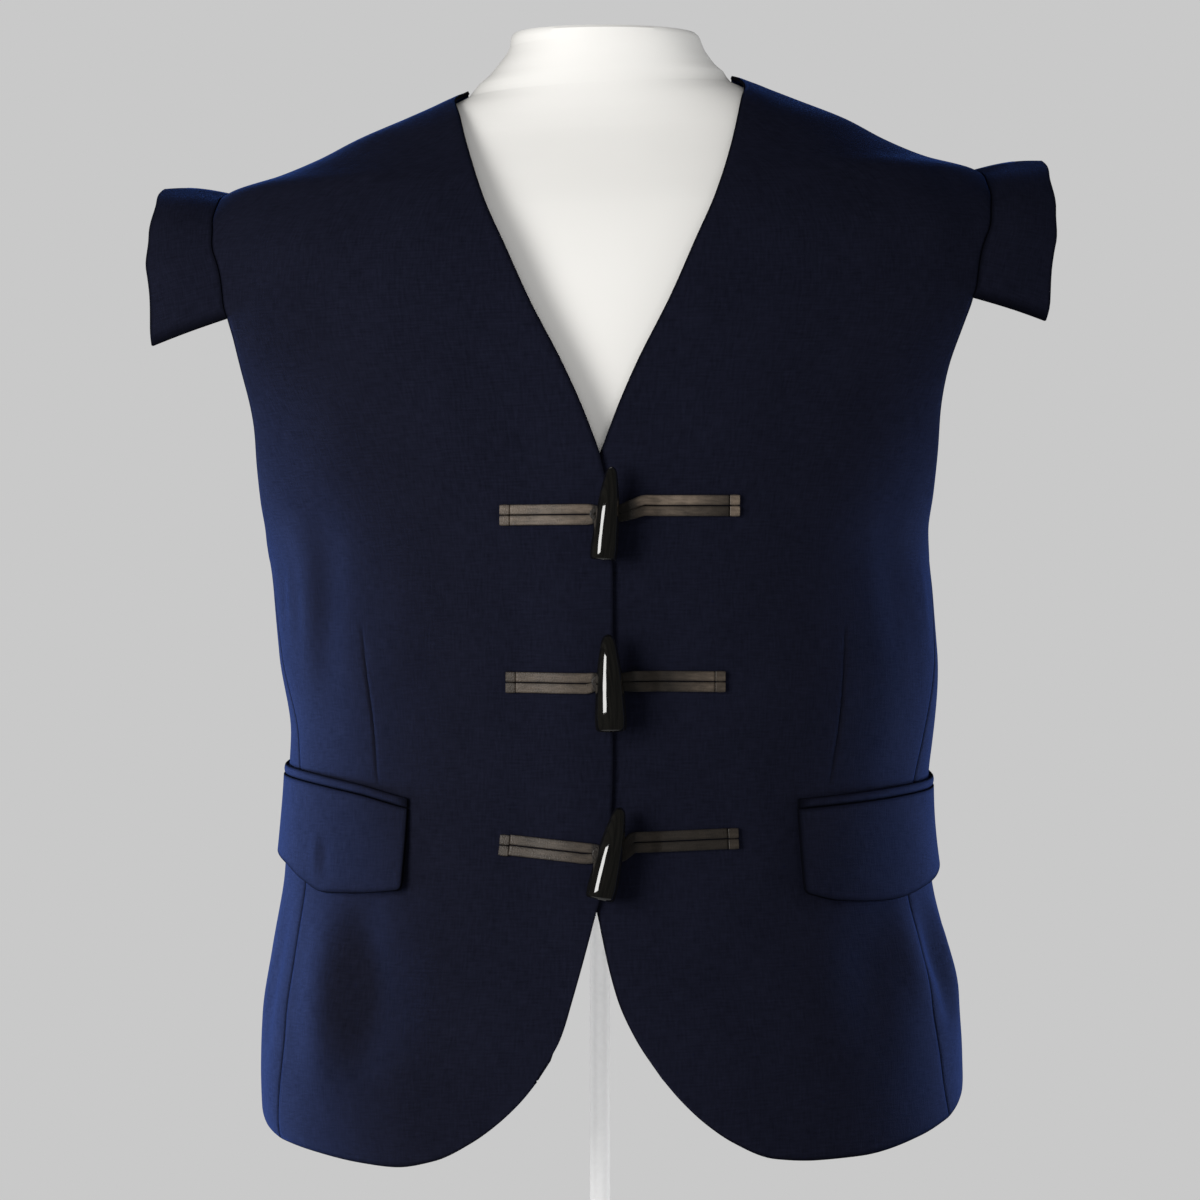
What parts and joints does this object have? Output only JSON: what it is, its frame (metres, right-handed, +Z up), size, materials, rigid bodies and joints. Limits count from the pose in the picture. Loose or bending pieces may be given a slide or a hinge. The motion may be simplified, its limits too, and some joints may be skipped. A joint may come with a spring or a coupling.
{
  "type": "jacobean waistcoat on a dress form",
  "caption": "Sleeveless dark wool waistcoat with a V neck, shoulder wings, pocket flaps and horn toggles on leather loops, worn by a limbless dress form on a round stand.",
  "frame": {"origin": "middle of the stand base's underside, on the floor", "axes": "+Z up, the garment's front faces -Y, and +X is the picture's right, which is the wearer's left"},
  "size_m": [0.5447, 0.3009, 0.77],
  "materials": {
    "wool": "matte, with a soft blue nap at grazing angles",
    "leather": "satin",
    "horn": "polished",
    "form": "matte",
    "stand": "satin"
  },
  "bodies": {
    "root": {"front_left": "wool", "front_right": "wool", "side_left": "wool", "side_right": "wool", "back": "wool", "wing_left": "wool", "wing_right": "wool", "flap_left": "wool", "flap_right": "wool", "jet_left": "wool", "jet_right": "wool", "toggle_1": "horn", "toggle_2": "horn", "toggle_3": "horn", "toggle_strap_1": "leather", "toggle_strap_2": "leather", "toggle_strap_3": "leather", "loop_strap_1": "leather", "loop_strap_2": "leather", "loop_strap_3": "leather", "tab_left_1": "leather", "tab_left_2": "leather", "tab_left_3": "leather", "tab_right_1": "leather", "tab_right_2": "leather", "tab_right_3": "leather", "form_bust": "form", "stand_collar": "stand", "stand_pole": "stand", "stand_base": "stand"}
  },
  "joints": []
}
